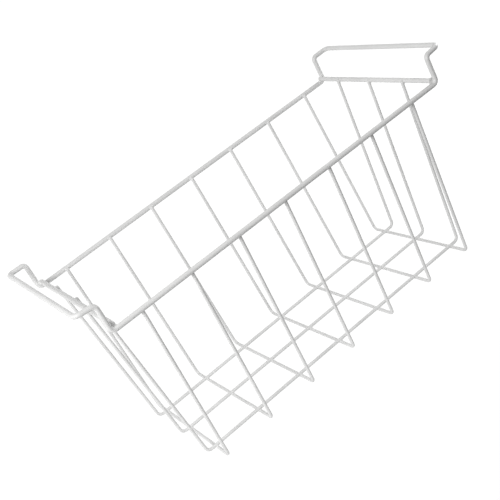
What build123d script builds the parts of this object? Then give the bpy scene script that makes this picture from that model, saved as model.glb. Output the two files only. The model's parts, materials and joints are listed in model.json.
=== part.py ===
from build123d import *
from math import sqrt
import os

# A wire basket that hangs in a chest freezer or stands on a floor
# Millimetres, X along the length, Y across, Z up, the origin on the floor under the middle
# Every wire is round steel in a plastic coat, and every thickness is taken over the coat

# Wires, drawn with narrow flats in place of the round, turned so that one faces each weld and the floor
frame_wire = 6.4
mesh_wire = 4.2
wire_sides = 12
weld_depth = 1.0
frame_end_chamfer = 1.2
mesh_end_chamfer = 0.8

# Rim, between centre lines of its wire
rim_length = 503.0
rim_width = 243.0
rail_height = 234.0
corner_bend = 6.4

# Handles, bent up from the rim and then outwards to a grip
handle_rise = 36.5
handle_lift = 1.5
handle_reach = 24.0
handle_bend = 5.5
grip_width = 238.0
grip_bend = 8.0

# End bars, which lie on the rails in the crook of the handles, and end short of the rails' centre lines
bar_end_inset = 1.5

# Cross wires, seven hoops that make the sides and carry the floor
# An inset is how far the corner at the floor lies in from the rim, and an end passes its weld's centre
cross_count = 7
cross_floor_inset = 22.5
cross_end_pass = 1.2

# Long wires, which lie on the cross wires and make the ends
long_names = ("front", "middle", "back")
long_floor_inset = 28.5
long_end_pass = 2.2

# Bends at the floor, and how far in from the floor's corners the outermost wires of each kind stand
floor_bend = 12.0
cross_corner_gap = 13.0
long_corner_gap = 29.5

# Centre distances at a weld, where one wire is let into the other
mesh_to_frame = (mesh_wire + frame_wire) / 2 - weld_depth
mesh_to_mesh = mesh_wire - weld_depth
frame_to_frame = frame_wire - weld_depth

# Half the angle between two flats, which turns a section so that flats face down and to the sides
half_side = 180 / wire_sides

# An end bar touches the inside of the corner bend, half-way round it
crook = corner_bend - (corner_bend - frame_to_frame) / sqrt(2)
bar_inset = max(crook, frame_to_frame)
bar_x = rim_length / 2 - bar_inset
bar_z = rail_height + bar_inset

# The floor between the corners of the hoops, and the even pitch of the wires that lie in it
floor_length = rim_length - 2 * long_floor_inset
floor_width = rim_width - 2 * cross_floor_inset
cross_pitch = (floor_length - 2 * cross_corner_gap) / (cross_count - 1)
long_pitch = (floor_width - 2 * long_corner_gap) / (len(long_names) - 1)


def hoop_wire(plane, floor_half, floor_z, weld_half, weld_z, end_pass, neighbours):
    """A mesh wire bent to a U with leaning legs, chamfered at its cut ends and let into its neighbours.

    The legs lean so that they pass weld_half at the height weld_z, and end higher by end_pass.
    """
    lean = (weld_half - floor_half) / (weld_z - floor_z)
    end_half = weld_half + lean * end_pass
    end_z = weld_z + end_pass
    with BuildPart() as wire:
        with BuildLine(plane) as hoop:
            FilletPolyline(
                (-end_half, end_z),
                (-floor_half, floor_z),
                (floor_half, floor_z),
                (end_half, end_z),
                radius=floor_bend,
            )
        with BuildSketch(Plane(origin=hoop.line @ 0, x_dir=plane.x_dir, z_dir=hoop.line % 0)):
            RegularPolygon(mesh_wire / 2, wire_sides, major_radius=False, rotation=half_side)
        sweep(path=hoop.line)
        chamfer(faces().sort_by(Axis.Z)[-2:].edges(), mesh_end_chamfer)
        add(neighbours, mode=Mode.SUBTRACT)
    return wire


os.makedirs("parts", exist_ok=True)

# The rim is one closed wire: both rails and both handles, made as one half and mirrored
rail_y = rim_width / 2
corner_x = rim_length / 2
arm_z = rail_height + handle_rise
grip_x = corner_x + handle_reach
grip_y = grip_width / 2
grip_z = arm_z + handle_lift
with BuildPart() as rim_frame:
    with BuildLine() as half_rim:
        FilletPolyline(
            (0, -rail_y, rail_height),
            (corner_x, -rail_y, rail_height),
            (corner_x, -rail_y, arm_z),
            (grip_x, -grip_y, grip_z),
            (grip_x, grip_y, grip_z),
            (corner_x, rail_y, arm_z),
            (corner_x, rail_y, rail_height),
            (0, rail_y, rail_height),
            radius=(corner_bend, handle_bend, grip_bend, grip_bend, handle_bend, corner_bend),
        )
    with BuildSketch(Plane(origin=half_rim.line @ 0, x_dir=(0, 0, 1), z_dir=half_rim.line % 0)):
        RegularPolygon(frame_wire / 2, wire_sides, major_radius=False, rotation=half_side)
    sweep(path=half_rim.line)
    mirror(about=Plane.YZ)
rim_frame.part.label = "rim_frame"
export_step(rim_frame.part, "parts/rim_frame.step")

# Each end bar reaches on to both rails and is let into the corner bends
bar_half = rail_y - bar_end_inset
end_bars = []
for name, side in (("left_end_bar", -1), ("right_end_bar", 1)):
    with BuildPart() as end_bar:
        with BuildSketch(Plane(origin=(side * bar_x, 0, bar_z), x_dir=(0, 0, 1), z_dir=(0, 1, 0))):
            RegularPolygon(frame_wire / 2, wire_sides, major_radius=False, rotation=half_side)
        extrude(amount=bar_half, both=True)
        chamfer(faces().sort_by(Axis.Y)[0].edges(), frame_end_chamfer)
        chamfer(faces().sort_by(Axis.Y)[-1].edges(), frame_end_chamfer)
        add(rim_frame.part, mode=Mode.SUBTRACT)
    end_bar.part.label = name
    export_step(end_bar.part, f"parts/{name}.step")
    end_bars.append(end_bar.part)

# Each cross wire is a hoop whose ends are welded to the inside of the rails
cross_z = mesh_wire / 2
cross_wires = []
for index in range(cross_count):
    name = f"cross_wire_{index + 1}"
    place = (index - (cross_count - 1) / 2) * cross_pitch
    cross_wire = hoop_wire(
        Plane.YZ.offset(place),
        floor_width / 2,
        cross_z,
        rail_y - mesh_to_frame,
        rail_height,
        cross_end_pass,
        [rim_frame.part],
    )
    cross_wire.part.label = name
    export_step(cross_wire.part, f"parts/{name}.step")
    cross_wires.append(cross_wire.part)

# Each long wire lies on the hoops, let into them, and is welded inside the end bars
long_z = cross_z + mesh_to_mesh
for index, position in enumerate(long_names):
    name = f"long_wire_{position}"
    place = (index - (len(long_names) - 1) / 2) * long_pitch
    long_wire = hoop_wire(
        Plane.XZ.offset(-place),
        floor_length / 2,
        long_z,
        bar_x - mesh_to_frame,
        bar_z,
        long_end_pass,
        [*cross_wires, *end_bars],
    )
    long_wire.part.label = name
    export_step(long_wire.part, f"parts/{name}.step")
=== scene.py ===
# %% [markdown]
# # A wire basket for a chest freezer
# The real basket is steel wire, bent and welded, and then coated all over with white plastic. What one
# sees is the coat: smooth and satin on the round wires, closed like a drop over their cut ends, and
# drawn into a small soft web wherever two wires meet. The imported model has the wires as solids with
# narrow flats. This script gives each of them its round coated skin, in the same place, and then makes
# the finish, the camera and the light.

import json

import bpy
import numpy as np
from mathutils import Matrix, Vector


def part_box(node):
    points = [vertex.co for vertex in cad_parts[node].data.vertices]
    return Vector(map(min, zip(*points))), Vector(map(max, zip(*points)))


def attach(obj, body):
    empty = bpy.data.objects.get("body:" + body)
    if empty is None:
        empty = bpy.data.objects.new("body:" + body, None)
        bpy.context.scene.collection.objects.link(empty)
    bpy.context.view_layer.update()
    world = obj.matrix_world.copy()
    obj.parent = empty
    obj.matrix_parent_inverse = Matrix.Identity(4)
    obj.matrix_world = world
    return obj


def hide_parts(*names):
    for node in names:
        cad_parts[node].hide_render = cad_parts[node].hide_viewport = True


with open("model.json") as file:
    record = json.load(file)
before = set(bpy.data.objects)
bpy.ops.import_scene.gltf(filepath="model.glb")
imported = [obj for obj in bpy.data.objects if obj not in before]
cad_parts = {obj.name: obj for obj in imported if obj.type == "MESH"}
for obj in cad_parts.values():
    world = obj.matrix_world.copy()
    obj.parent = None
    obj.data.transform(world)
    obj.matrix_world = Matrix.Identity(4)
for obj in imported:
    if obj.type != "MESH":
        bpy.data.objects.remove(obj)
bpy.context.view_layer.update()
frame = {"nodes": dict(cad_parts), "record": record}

# %% [markdown]
# ## The camera
# The photograph looks down into the basket from in front of its left end, and the camera is turned about
# its own axis, so that the rails climb to the right. A camera can be set by trial, but a wire basket is
# made of straight lines, and these fix it: the place, the sight line and the lens below come from
# setting the rails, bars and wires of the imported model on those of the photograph. The middle of the
# photograph lies a little to the right of the sight line, which the lens shift allows for.

# %% Camera
image_side = 500
lens_pixels = 961.3
sight_pixel = (230.0, 255.0)
camera_place = np.array((-0.42663, -1.04376, 0.65815))
sight_line = np.array((0.31081, 0.85874, -0.40737))
image_right = np.array((0.75119, -0.48453, -0.44826))
sensor_width = 36.0


def unit(vectors):
    """Vectors of length one, for one vector or for an array of them along the last axis."""
    return vectors / np.linalg.norm(vectors, axis=-1, keepdims=True)


camera_data = bpy.data.cameras.new("photo_camera")
camera_data.sensor_width = sensor_width
camera_data.lens = sensor_width * lens_pixels / image_side
camera_data.shift_x = (image_side / 2 - sight_pixel[0]) / image_side
camera_data.shift_y = (sight_pixel[1] - image_side / 2) / image_side
camera = bpy.data.objects.new("photo_camera", camera_data)
bpy.context.scene.collection.objects.link(camera)
back_axis = -unit(sight_line)
up_axis = unit(np.cross(back_axis, image_right))
right_axis = np.cross(up_axis, back_axis)
turned = np.eye(4)
turned[:3, :3] = np.stack((right_axis, up_axis, back_axis), axis=1)
turned[:3, 3] = camera_place
camera.matrix_world = Matrix(turned.tolist())
bpy.context.scene.camera = camera
bpy.context.scene.view_settings.view_transform = "Standard"
print("lens", round(camera_data.lens, 2), "mm, shift", round(camera_data.shift_x, 3))

# %% [markdown]
# ## The sizes
# There are two thicknesses of wire, taken over the coat. The thick one makes the rim with its handles
# and the two end bars, and the thin one makes the hoops. The thicknesses and most places are read from
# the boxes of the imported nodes. The bends can't be read from a box, so they are written here as they
# are in the part. Only the hoops' bends at the floor are tighter than the part's 12 mm, because the
# photograph shows most of them so.

# %% Sizes in metres
bar_low, bar_high = (np.array(corner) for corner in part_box("right_end_bar"))
hoop_low, hoop_high = (np.array(corner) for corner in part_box("cross_wire_4"))
rim_low, rim_high = (np.array(corner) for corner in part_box("rim_frame"))
frame_radius = (bar_high[2] - bar_low[2]) / 2
mesh_radius = (hoop_high[0] - hoop_low[0]) / 2
bar_x = (bar_high[0] + bar_low[0]) / 2
bar_z = (bar_high[2] + bar_low[2]) / 2
bar_half = bar_high[1]
rail_y = rim_high[1] - frame_radius
rail_z = rim_low[2] + frame_radius

weld_depth = 0.001
rim_half = 0.2515
corner_bend = 0.0064
handle_rise = 0.0365
handle_lift = 0.0015
handle_reach = 0.024
handle_bend = 0.0055
grip_half = 0.119
grip_bend = 0.008
cross_floor_half = 0.099
long_floor_half = 0.223
floor_bend = 0.007
cross_end_pass = 0.0012
long_end_pass = 0.0022
mesh_to_frame = mesh_radius + frame_radius - weld_depth
mesh_to_mesh = 2 * mesh_radius - weld_depth
print("thick", round(2 * frame_radius, 5), "thin", round(2 * mesh_radius, 5), "rail", round(rail_z, 4))

# %% [markdown]
# ## The line of a bent wire
# A wire bender leaves straight runs with round bends between them. The line of such a wire could be a
# curve object with bevelled corners, but its bends would not be true arcs. Here the line is worked out:
# along a run the point moves straight on, and in a bend it goes round a circle that touches both runs.
# A side direction is carried along and turned by the same bends, so that the skin never twists.

# %% Function for the line of a bent wire
run_step = 0.004
turn_step = np.radians(7.5)
same_place = 1e-9


def bent_line(corners, bends=(), turn_step=turn_step):
    """Points, directions and side directions along straight runs with round bends.

    A run: start + way x distance. A bend: centre + radius x (way x sin a - inward x cos a), for the
    angle a from 0 to the whole turn, where inward is square to the way and points at the centre.
    """
    corners = np.array(corners, float)
    ways = unit(np.diff(corners, axis=0))
    turns = np.arccos(np.clip(np.sum(ways[:-1] * ways[1:], axis=1), -1, 1))
    trims = np.array(bends) * np.tan(turns / 2)
    starts = corners[:-1] + ways * np.concatenate(([0], trims))[:, None]
    stops = corners[1:] - ways * np.concatenate((trims, [0]))[:, None]
    side = unit(np.cross(ways[0], np.eye(3)[np.argmin(np.abs(ways[0]))]))
    points, directions, sides = [], [], []
    for index, way in enumerate(ways):
        run = stops[index] - starts[index]
        share = np.linspace(0, 1, int(np.linalg.norm(run) / run_step) + 2)[:, None]
        points.append(starts[index] + run * share)
        directions.append(way + 0 * share)
        sides.append(side + 0 * share)
        if index < len(turns):
            axis = unit(np.cross(way, ways[index + 1]))
            inward = np.cross(axis, way)
            centre = stops[index] + inward * bends[index]
            angle = np.linspace(0, turns[index], int(turns[index] / turn_step) + 2)[1:, None]
            points.append(centre + bends[index] * (way * np.sin(angle) - inward * np.cos(angle)))
            directions.append(way * np.cos(angle) + inward * np.sin(angle))
            along_axis = axis * np.dot(axis, side)
            swung = side - along_axis
            turned_side = along_axis + swung * np.cos(angle) + np.cross(axis, swung) * np.sin(angle)
            sides.append(turned_side)
            side = turned_side[-1]
    line = [np.concatenate(rows) for rows in (points, directions, sides)]
    moved = np.linalg.norm(np.diff(line[0], axis=0), axis=1) > same_place
    return [rows[np.append(True, moved)] for rows in line]


print("stations every", run_step, "m of a run and", round(np.degrees(turn_step), 1), "degrees of a bend")

# %% [markdown]
# ## The skin of a coated wire
# The skin is a surface of two parameters: how far along the wire, and the angle round it. Plastic that
# is melted onto wire is never quite even, so the radius swells and thins by a few hundredths of a
# millimetre in long slow waves. At a free end it falls along a quarter of a circle, which closes the
# coat over the cut. Rings of points with one pole at each end make a closed shell.

# %% Functions for the skin
end_rings = 6
swell = 0.00003
# Waves along the wire, turns round it, share of the swell and factor on the wire's own phase
coat_waves = ((9, 0, 0.5, 1), (23, 2, 0.3, 3), (41, -1, 0.25, 5))


def ring_faces(rows, columns, closed_rows):
    """Four-sided faces between neighbouring rings of a grid that is closed the short way round."""
    row = np.arange(rows if closed_rows else rows - 1)[:, None]
    column = np.arange(columns)[None, :]
    here, there = row * columns, (row + 1) % rows * columns
    right = (column + 1) % columns
    return np.stack((here + column, here + right, there + right, there + column), -1).reshape(-1, 4)


def fan_faces(pole, ring, columns):
    """Triangles from a pole to the ring that starts at the given point."""
    column = np.arange(columns)
    following = ring + (column + 1) % columns
    return np.stack((np.full(columns, pole), following, ring + column), -1)


def outward(shell):
    """The same closed shell with its faces turned outwards, which its signed volume tells."""
    points, quads, triangles = shell
    halves = np.concatenate((quads[:, :3], quads[:, [0, 2, 3]], triangles))
    a, b, c = (points[halves[:, corner]] for corner in range(3))
    if np.sum(a * np.cross(b, c)) < 0:
        return points, quads[:, ::-1], triangles[:, ::-1]
    return shell


def wire_skin(line, radius, sides, end_round=0.0, phase=0.0):
    """A closed shell round a line, or a ring of wire where end_round is zero and the line meets itself.

    point = line(s) + r(s, a) x (side x cos a + cross x sin a), with r the radius less the fall at an end,
    end_round - sqrt(end_round^2 - (end_round - distance to the end)^2), plus slow sine waves, which
    grow weaker towards an end.
    """
    points, directions, side = line
    along = np.concatenate(([0], np.cumsum(np.linalg.norm(np.diff(points, axis=0), axis=1))))
    length = along[-1]
    closed = end_round == 0
    if closed:
        stations = along[:-1]
    else:
        end_steps = end_round * (1 - np.cos(np.linspace(0, np.pi / 2, end_rings)))
        inner = along[(along > end_round) & (along < length - end_round)]
        stations = np.concatenate((end_steps, inner, length - end_steps[::-1]))
    centre, way, side = (
        np.stack([np.interp(stations, along, rows[:, axis]) for axis in range(3)], axis=1)
        for rows in (points, directions, side)
    )
    way = unit(way)
    side = unit(side - way * np.sum(side * way, axis=1, keepdims=True))
    cross = np.cross(way, side)
    gap = np.minimum(np.minimum(stations, length - stations), end_round)
    fall = end_round - np.sqrt(np.maximum(end_round**2 - (end_round - gap) ** 2, 0))
    angle = np.arange(sides) / sides * 2 * np.pi
    turn = (2 * np.pi * stations / length)[:, None]
    waves = sum(
        share * np.sin(count * turn + turns * angle + shift * phase)
        for count, turns, share, shift in coat_waves
    )
    reach = (radius - fall)[:, None] + swell * waves * (1 - fall / radius)[:, None]
    rings = centre[:, None, :] + reach[..., None] * (
        side[:, None, :] * np.cos(angle)[:, None] + cross[:, None, :] * np.sin(angle)[:, None]
    )
    quads = ring_faces(len(stations), sides, closed)
    if closed:
        return outward((rings.reshape(-1, 3), quads, np.zeros((0, 3), int)))
    poles = np.stack((centre[0], centre[-1]))
    first_pole = rings.shape[0] * sides
    first_fan = fan_faces(first_pole, 0, sides)
    last_fan = fan_faces(first_pole + 1, first_pole - sides, sides)[:, ::-1]
    fans = np.concatenate((first_fan, last_fan))
    return outward((np.concatenate((rings.reshape(-1, 3), poles)), quads, fans))


highest_wave = swell * sum(share for count, turns, share, shift in coat_waves)
print("the coat is up to", round(1000 * highest_wave, 3), "mm thicker or thinner")

# %% [markdown]
# ## The web of coat at a weld
# Where two wires are welded, the melted coat is drawn into the corner between them. A modeller could
# blend the wires by remeshing them together, but that melts away their clean round form. The web is the
# form that a small ball leaves as it rolls round the crossing, always touching both wires. The ball's
# centre runs along the curve where two thicker wires would cut each other, and the web is the arc
# between its two points of touch. Its edges run on a little under the skins of the wires, and a point
# inside each wire closes the shell. Where a wire ends beside its weld, the web stops with it, in a low
# dome.

# %% Function for the web of coat
loop_steps = 64
arc_steps = 8
widest_swing = np.radians(150)
swing_steps = 1501
edge_run = 0.00025
edge_sink = 0.0001
end_dome = 0.0003


def nearest_on_line(points, line):
    """The nearest places on a line, found among its stations and then slid along the way there."""
    stations, ways = line[0], line[1]
    apart = points[:, None, :] - stations[None, :, :]
    nearest = np.argmin(np.sum(apart**2, axis=2), axis=1)
    slide = np.sum((points - stations[nearest]) * ways[nearest], axis=1)
    reach = np.linalg.norm(np.diff(stations, axis=0), axis=1).max()
    low = np.where(nearest == 0, 0, -reach)
    high = np.where(nearest == len(stations) - 1, 0, reach)
    return stations[nearest] + np.clip(slide, low, high)[:, None] * ways[nearest]


def coat_web(bar_point, bar_way, bar_radius, line, line_radius, ball, bar_end=None):
    """The closed shell that a rolling ball leaves between a straight wire and a wire square to it.

    The ball's centre is bar point + (bar radius + ball) x (towards x cos p + along x sin p) + way x u, with
    u = +-sqrt((line radius + ball)^2 - d^2), where d is its distance from the line at u = 0, for all p at
    which d isn't larger than line radius + ball. A bar that ends before the line, at u = bar_end, takes
    only the p with u under bar_end, and u = bar_end + dome x sin^2 of the loop's angle on its other side.
    """
    wide_bar, wide_line = bar_radius + ball, line_radius + ball
    towards = unit(nearest_on_line(bar_point[None], line)[0] - bar_point)
    along = np.cross(bar_way, towards)

    def centre_at(swing):
        """The ball's centre in the middle plane, its foot on the line and its distance from there."""
        centre = bar_point + wide_bar * (
            towards * np.cos(swing)[:, None] + along * np.sin(swing)[:, None]
        )
        foot = nearest_on_line(centre, line)
        return centre, foot, np.linalg.norm(centre - foot, axis=1)

    last_u = 0 if bar_end is None else bar_end
    furthest = np.sqrt(wide_line**2 - last_u**2)
    half_turn = np.linspace(0, widest_swing, swing_steps)
    limits = [
        np.argmax(np.append(centre_at(sign * half_turn)[2] > furthest, True)) for sign in (-1, 1)
    ]
    low, high = -half_turn[limits[0] - 1], half_turn[limits[1] - 1]
    round_loop = (np.arange(loop_steps) + 0.5) / loop_steps * 2 * np.pi
    swing = (low + high) / 2 + (high - low) / 2 * np.cos(round_loop)
    middle, foot, apart = centre_at(swing)
    u = np.sign(np.sin(round_loop)) * np.sqrt(np.maximum(wide_line**2 - apart**2, 0))
    if bar_end is not None:
        u = np.minimum(u, bar_end + end_dome * np.sin(round_loop) ** 2)
    ball_centre = middle + u[:, None] * bar_way
    on_bar = ball_centre - (middle - bar_point) * ball / wide_bar
    on_line = foot + line_radius * unit(ball_centre - foot)
    spoke_bar, spoke_line = on_bar - ball_centre, on_line - ball_centre
    long_bar, long_line = (np.linalg.norm(s, axis=1)[:, None, None] for s in (spoke_bar, spoke_line))
    spoke_bar, spoke_line = unit(spoke_bar), unit(spoke_line)
    opening = np.arccos(np.clip(np.sum(spoke_bar * spoke_line, axis=1), -1, 1))[:, None, None]
    share = np.linspace(0, 1, arc_steps + 1)[None, :, None]
    spoke = (
        np.sin((1 - share) * opening) * spoke_bar[:, None] + np.sin(share * opening) * spoke_line[:, None]
    ) / np.sin(opening)
    arc = ball_centre[:, None] + spoke * (long_bar * (1 - share) + long_line * share)
    from_bar = unit(arc[:, 0] - arc[:, 1])
    from_line = unit(arc[:, -1] - arc[:, -2])
    under_bar = arc[:, 0] + from_bar * edge_run + spoke_bar * edge_sink
    under_line = arc[:, -1] + from_line * edge_run + spoke_line * edge_sink
    band = np.concatenate((under_bar[:, None], arc, under_line[:, None]), axis=1)
    rows = band.shape[1]
    rings = band.transpose(1, 0, 2).reshape(-1, 3)
    in_bar = bar_point + towards * bar_radius / 2 + bar_way * last_u
    in_line = nearest_on_line(bar_point[None], line)[0]
    points = np.concatenate((rings, in_bar[None], in_line[None]))
    first_fan = fan_faces(rows * loop_steps, 0, loop_steps)
    last_fan = fan_faces(rows * loop_steps + 1, (rows - 1) * loop_steps, loop_steps)[:, ::-1]
    quads = ring_faces(rows, loop_steps, False)
    return outward((points, quads, np.concatenate((first_fan, last_fan))))


print("a web has", loop_steps, "steps round the crossing and", arc_steps, "from wire to wire")

# %% [markdown]
# ## The finish
# The coat is white plastic with a satin surface. Close to, it has a fine unevenness like that of an
# orange, one to two millimetres from hill to hill, and the gloss varies a little. The white isn't quite
# even either, where the coat is thinner or has been handled. One could paint this on, but noises make it
# without a seam. Each slot of the record gets its own material: the thick wires are coated a little more
# glossy than the thin ones. All patterns read the object's coordinates, so that they run on from a wire
# into the web beside it.

# %% Function for the coat
plastic_ior = 1.48
# Hills to the metre and finer layers, for the noises of the colour, the gloss and the unevenness
cloud_noise, gloss_noise, peel_noise = (22, 3), (90, 4), (600, 2)
dull_below, pale_above = 0.35, 0.62
gloss_low, gloss_high = 0.3, 0.7
gloss_spread = 0.05
peel_strength = 0.12
peel_height = 0.0001


def coat_material(slot, pale, dull, roughness):
    """A satin plastic coat, its colour between pale and dull and its roughness spread about one value."""
    material = bpy.data.materials.new(slot)
    material.use_nodes = True
    nodes, links = material.node_tree.nodes, material.node_tree.links
    shader = nodes["Principled BSDF"]
    shader.inputs["IOR"].default_value = plastic_ior
    place = nodes.new("ShaderNodeTexCoord")

    def noise(scale, detail):
        """A noise texture on the object's coordinates, with so many hills to the metre."""
        node = nodes.new("ShaderNodeTexNoise")
        node.inputs["Scale"].default_value = scale
        node.inputs["Detail"].default_value = detail
        links.new(place.outputs["Object"], node.inputs["Vector"])
        return node

    clouds = noise(*cloud_noise)
    tint = nodes.new("ShaderNodeValToRGB")
    tint.color_ramp.elements[0].position = dull_below
    tint.color_ramp.elements[0].color = (*dull, 1)
    tint.color_ramp.elements[1].position = pale_above
    tint.color_ramp.elements[1].color = (*pale, 1)
    links.new(clouds.outputs["Fac"], tint.inputs["Fac"])
    links.new(tint.outputs["Color"], shader.inputs["Base Color"])

    patches = noise(*gloss_noise)
    gloss = nodes.new("ShaderNodeMapRange")
    gloss.inputs["From Min"].default_value = gloss_low
    gloss.inputs["From Max"].default_value = gloss_high
    gloss.inputs["To Min"].default_value = roughness - gloss_spread
    gloss.inputs["To Max"].default_value = roughness + gloss_spread
    links.new(patches.outputs["Fac"], gloss.inputs["Value"])
    links.new(gloss.outputs["Result"], shader.inputs["Roughness"])

    peel = noise(*peel_noise)
    bump = nodes.new("ShaderNodeBump")
    bump.inputs["Strength"].default_value = peel_strength
    bump.inputs["Distance"].default_value = peel_height
    links.new(peel.outputs["Fac"], bump.inputs["Height"])
    links.new(bump.outputs["Normal"], shader.inputs["Normal"])
    return material


coats = {
    slot: coat_material(slot, pale, dull, roughness)
    for slot, pale, dull, roughness in (
        ("frame_wire_coat", (0.79, 0.79, 0.785), (0.735, 0.735, 0.73), 0.36),
        ("mesh_wire_coat", (0.78, 0.78, 0.775), (0.725, 0.725, 0.72), 0.42),
    )
}
slot_of_node = {row["node"]: row["material_slot"] for row in frame["record"]["subparts"]}
print("coats", list(coats))

# %% [markdown]
# ## From shells to a piece
# A piece is the skin of one wire with the webs of coat at its welds, all closed shells. They are joined
# as arrays and go into one mesh. The piece takes the place of the wire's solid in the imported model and
# rides with the basket's only body.

# %% Function for a finished piece
def make_piece(node, shells):
    """One mesh object from closed shells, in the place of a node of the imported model."""
    counts = np.cumsum([0] + [len(points) for points, quads, triangles in shells])
    points = np.concatenate([shell[0] for shell in shells])
    quads = np.concatenate([shell[1] + start for shell, start in zip(shells, counts)])
    triangles = np.concatenate([shell[2] + start for shell, start in zip(shells, counts)])
    corners = np.concatenate((quads.ravel(), triangles.ravel()))
    sizes = np.concatenate((np.full(len(quads), 4), np.full(len(triangles), 3)))
    mesh = bpy.data.meshes.new(f"coated_{node}")
    mesh.vertices.add(len(points))
    mesh.vertices.foreach_set("co", points.ravel())
    mesh.loops.add(len(corners))
    mesh.loops.foreach_set("vertex_index", corners)
    mesh.polygons.add(len(sizes))
    mesh.polygons.foreach_set("loop_start", np.concatenate(([0], np.cumsum(sizes)[:-1])))
    mesh.update(calc_edges=True)
    mesh.validate()
    mesh.shade_smooth()
    piece = bpy.data.objects.new(f"coated_{node}", mesh)
    bpy.context.scene.collection.objects.link(piece)
    mesh.materials.append(coats[slot_of_node[node]])
    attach(piece, "root")
    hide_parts(node)
    print(piece.name, "shells", len(shells), "triangles", 2 * len(quads) + len(triangles))


# %% [markdown]
# ## The rim
# One thick wire makes both rails and both handles. It leaves a rail in a tight bend upwards, turns out
# over the freezer's edge as an arm, and crosses as the grip. Its line closes on itself, so the skin is
# a ring with no ends.

# %% Rim
frame_sides = 32
arm_z = rail_z + handle_rise
grip_x = rim_half + handle_reach
grip_z = arm_z + handle_lift
handle_bends = (corner_bend, handle_bend, grip_bend, grip_bend, handle_bend, corner_bend)
half_rim = [
    (rim_half, -rail_y, rail_z),
    (rim_half, -rail_y, arm_z),
    (grip_x, -grip_half, grip_z),
    (grip_x, grip_half, grip_z),
    (rim_half, rail_y, arm_z),
    (rim_half, rail_y, rail_z),
]
start = (0, -rail_y, rail_z)
other_half = [(-x, -y, z) for x, y, z in half_rim]
rim_line = bent_line([start, *half_rim, *other_half, start], handle_bends + handle_bends)
make_piece("rim_frame", [wire_skin(rim_line, frame_radius, frame_sides, phase=0.4)])

# %% [markdown]
# ## The end bars
# Each end bar lies in the crook of the handle's lower bends, and its cut ends stop just short of the
# rails' centre lines. The rolling ball goes round the bend of the rim here, so its line is given in finer
# steps. The web stops where the bar's end turns in, and from there a small bead of coat lies round the
# cut, between the bar and the bend.

# %% End bars
bar_end_round = 0.0013
corner_ball = 0.0016
bead_radius = 0.0011
bead_sides = 20
bead_end_round = 0.9 * bead_radius
bead_swing = np.radians(105)
bead_steps = 43
fine_turn = np.radians(1)
long_way = np.array((1.0, 0.0, 0.0))
cross_way = np.array((0.0, 1.0, 0.0))


def end_bead(end, side):
    """A bead round the cut end of a bar, on the side of the rim's bend.

    Its line is the bar's centre just inside the cut + frame radius x (into the bend x cos a + round the
    bar x sin a), for the angle a from -bead_swing to bead_swing.
    """
    angle = np.linspace(-bead_swing, bead_swing, bead_steps)[:, None]
    into_bend = unit(np.array((end, 0.0, -1.0)))
    round_bar = np.cross(cross_way, into_bend)
    spokes = into_bend * np.cos(angle) + round_bar * np.sin(angle)
    ways = round_bar * np.cos(angle) - into_bend * np.sin(angle)
    middle = np.array((end * bar_x, side * (bar_half - bead_radius), bar_z))
    line = [middle + frame_radius * spokes, ways, cross_way + 0 * spokes]
    return wire_skin(line, bead_radius, bead_sides, bead_end_round)


def end_web(end, side):
    """The web of coat between a bar and the bend of the rim, which stops where the bar's end turns in."""
    y = side * rail_y
    corners = [(0, y, rail_z), (end * rim_half, y, rail_z), (end * rim_half, y, arm_z)]
    return coat_web(
        np.array((end * bar_x, y, bar_z)),
        side * cross_way,
        frame_radius,
        bent_line(corners, [corner_bend], fine_turn),
        frame_radius,
        corner_ball,
        bar_end=bar_half - rail_y - bar_end_round,
    )


for node, end in (("left_end_bar", -1), ("right_end_bar", 1)):
    bar_line = bent_line([(end * bar_x, -bar_half, bar_z), (end * bar_x, bar_half, bar_z)])
    shells = [wire_skin(bar_line, frame_radius, frame_sides, bar_end_round, phase=1.1 * end)]
    for side in (-1, 1):
        shells += [end_bead(end, side), end_web(end, side)]
    make_piece(node, shells)

# %% [markdown]
# ## The hoops
# A hoop is a thin wire bent to a U with legs that lean outwards. Both kinds are made by one function,
# which works in the hoop's own plane: the first number goes across the U and the second is the height.
# A leg lies against the other wire at its weld and ends a little above it.

# %% Functions for a hoop
mesh_sides = 24
mesh_end_round = 0.95 * mesh_radius
weld_ball = 0.0011


def hoop_corners(floor_half, floor_z, weld_half, weld_z, end_pass):
    """The four corners of a hoop's line: the leg goes through the weld's place and on to its end."""
    lean = (weld_half - floor_half) / (weld_z - floor_z)
    end_half = weld_half + lean * end_pass
    end_z = weld_z + end_pass
    return [(-end_half, end_z), (-floor_half, floor_z), (floor_half, floor_z), (end_half, end_z)]


def hoop_shells(corners, to_space, phase):
    """The skin of a hoop, its line, and the lines of its two legs without their round ends."""
    space = [to_space(*corner) for corner in corners]
    line = bent_line(space, (floor_bend, floor_bend))
    skin = wire_skin(line, mesh_radius, mesh_sides, mesh_end_round, phase)
    legs = []
    for top, bottom in ((space[0], space[1]), (space[3], space[2])):
        top, bottom = np.array(top), np.array(bottom)
        legs.append(bent_line([top + unit(bottom - top) * mesh_end_round, bottom]))
    return skin, line, legs


print("a hoop's cut ends are rounded over", round(1000 * mesh_end_round, 2), "mm")

# %% [markdown]
# ## The cross wires
# Seven hoops across the basket make its long sides, and the basket stands on their floor runs. Each
# has its ends welded to the inside of the two rails.

# %% Cross wires
cross_z = mesh_radius
cross_corners = hoop_corners(cross_floor_half, cross_z, rail_y - mesh_to_frame, rail_z, cross_end_pass)
cross_names = sorted(name for name in frame["nodes"] if name.startswith("cross_wire"))
cross_places = []
for number, node in enumerate(cross_names):
    low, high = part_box(node)
    place = (low.x + high.x) / 2
    cross_places.append(place)
    skin, _, legs = hoop_shells(cross_corners, lambda across, z: (place, across, z), number)
    webs = [
        coat_web(np.array((place, y, rail_z)), long_way, frame_radius, leg, mesh_radius, weld_ball)
        for y, leg in zip((-rail_y, rail_y), legs)
    ]
    make_piece(node, [skin, *webs])

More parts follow.
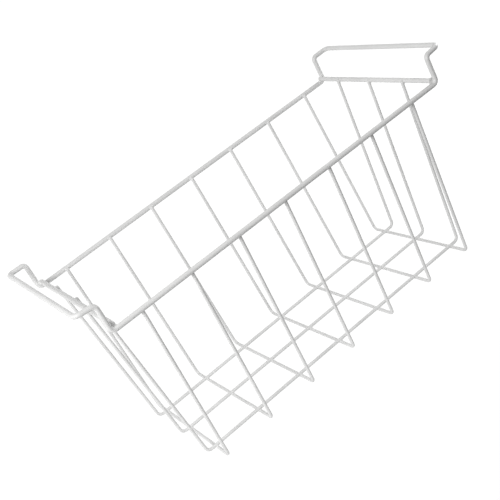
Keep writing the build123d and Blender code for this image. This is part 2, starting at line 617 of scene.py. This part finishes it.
# %% [markdown]
# ## The long wires
# Three hoops along the basket make its short sides. They lie on the cross wires, with a weld at every
# crossing, and their ends are welded to the inside of the end bars.

# %% Long wires
long_z = cross_z + mesh_to_mesh
long_corners = hoop_corners(long_floor_half, long_z, bar_x - mesh_to_frame, bar_z, long_end_pass)
for number, position in enumerate(("front", "middle", "back")):
    node = f"long_wire_{position}"
    low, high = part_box(node)
    place = (low.y + high.y) / 2
    skin, line, legs = hoop_shells(long_corners, lambda across, z: (across, place, z), number + 0.5)
    webs = [
        coat_web(np.array((x, place, bar_z)), cross_way, frame_radius, leg, mesh_radius, weld_ball)
        for x, leg in zip((-bar_x, bar_x), legs)
    ]
    webs += [
        coat_web(np.array((x, place, cross_z)), cross_way, mesh_radius, line, mesh_radius, weld_ball)
        for x in cross_places
    ]
    make_piece(node, [skin, *webs])

# %% [markdown]
# ## The floor
# The basket stands on a pale studio floor that runs out of sight and throws light up at the undersides
# of the wires. In the photograph these are darker at the front than at the back, as if the pale floor
# ended in front of the basket, so its colour falls off there. None of this is seen. To the camera and to
# the gloss the floor shines a plain white, and only a share of it is a lit surface that takes the
# shadow of the wires, which the white all but swallows, as in the photograph. The world behind it is
# white to them too, so one function tells both which rays come from the camera or from the gloss.

# %% Floor
def seen_rays(tree):
    """A socket that is 1 for rays from the camera and for glossy rays, and 0 for all others."""
    rays = tree.nodes.new("ShaderNodeLightPath")
    seen = tree.nodes.new("ShaderNodeMath")
    seen.operation = "MAXIMUM"
    tree.links.new(rays.outputs["Is Camera Ray"], seen.inputs[0])
    tree.links.new(rays.outputs["Is Glossy Ray"], seen.inputs[1])
    return seen.outputs["Value"]


studio_half = 12.0
shadow_share = 0.12
floor_white = 1.14
floor_pale, floor_dark = 0.75, 0.02
fade_way = (-0.3, 0.95, 0)
fade_start, fade_end = -0.35, -0.1
floor_mesh = bpy.data.meshes.new("studio_floor")
corner_signs = ((-1, -1), (1, -1), (1, 1), (-1, 1))
floor_corners = [(studio_half * x, studio_half * y, 0) for x, y in corner_signs]
floor_mesh.from_pydata(floor_corners, [], [(0, 1, 2, 3)])
floor = bpy.data.objects.new("studio_floor", floor_mesh)
bpy.context.scene.collection.objects.link(floor)

floor_material = bpy.data.materials.new("studio_floor")
floor_material.use_nodes = True
tree = floor_material.node_tree
tree.nodes.clear()
floor_place = tree.nodes.new("ShaderNodeTexCoord")
along_fade = tree.nodes.new("ShaderNodeVectorMath")
along_fade.operation = "DOT_PRODUCT"
along_fade.inputs[1].default_value = fade_way
tree.links.new(floor_place.outputs["Object"], along_fade.inputs[0])
fade = tree.nodes.new("ShaderNodeMapRange")
fade.inputs["From Min"].default_value = fade_start
fade.inputs["From Max"].default_value = fade_end
fade.inputs["To Min"].default_value = floor_dark
fade.inputs["To Max"].default_value = floor_pale
tree.links.new(along_fade.outputs["Value"], fade.inputs["Value"])
lit = tree.nodes.new("ShaderNodeBsdfDiffuse")
tree.links.new(fade.outputs["Result"], lit.inputs["Color"])
plain = tree.nodes.new("ShaderNodeEmission")
plain.inputs["Strength"].default_value = floor_white
share = tree.nodes.new("ShaderNodeMath")
share.operation = "MULTIPLY"
share.inputs[1].default_value = 1 - shadow_share
tree.links.new(seen_rays(tree), share.inputs[0])
blend = tree.nodes.new("ShaderNodeMixShader")
tree.links.new(share.outputs["Value"], blend.inputs["Fac"])
tree.links.new(lit.outputs["BSDF"], blend.inputs[1])
tree.links.new(plain.outputs["Emission"], blend.inputs[2])
out = tree.nodes.new("ShaderNodeOutputMaterial")
tree.links.new(blend.outputs["Shader"], out.inputs["Surface"])
floor_mesh.materials.append(floor_material)
print("floor", 2 * studio_half, "m square")

# %% [markdown]
# ## The light
# The photograph has soft light from the left, and the wires on the left are a little brighter than
# those on the right. A large lamp stands off the left end, towards the front and well above the basket.
# A weaker one off the right end lifts the shadows there, and the world and the pale floor fill in the
# rest.

# %% World and lamps
fill_light = 0.4
seen_white = 1.0
world = bpy.data.worlds.new("studio")
bpy.context.scene.world = world
world.use_nodes = True
tree = world.node_tree
tree.nodes.clear()
level = tree.nodes.new("ShaderNodeMapRange")
level.inputs["To Min"].default_value = fill_light
level.inputs["To Max"].default_value = seen_white
tree.links.new(seen_rays(tree), level.inputs["Value"])
sky = tree.nodes.new("ShaderNodeBackground")
sky.inputs["Color"].default_value = (1, 1, 1, 1)
tree.links.new(level.outputs["Result"], sky.inputs["Strength"])
out = tree.nodes.new("ShaderNodeOutputWorld")
tree.links.new(sky.outputs["Background"], out.inputs["Surface"])


def soft_lamp(name, place, side, power):
    """A square lamp of the given side in metres and power in watts, turned to face the basket."""
    lamp_data = bpy.data.lights.new(name, "AREA")
    lamp_data.size = side
    lamp_data.energy = power
    lamp = bpy.data.objects.new(name, lamp_data)
    bpy.context.scene.collection.objects.link(lamp)
    away = unit(np.array(place) - basket_middle)
    across = unit(np.cross((0, 1, 0), away))
    turned = np.eye(4)
    turned[:3, :3] = np.stack((across, np.cross(away, across), away), axis=1)
    turned[:3, 3] = place
    lamp.matrix_world = Matrix(turned.tolist())


basket_middle = np.array((0.0, 0.0, 0.12))
soft_lamp("lamp_left", place=(-1.2, -0.8, 0.9), side=0.8, power=17.5)
soft_lamp("lamp_right", place=(1.2, 0.0, 0.5), side=0.6, power=7.5)
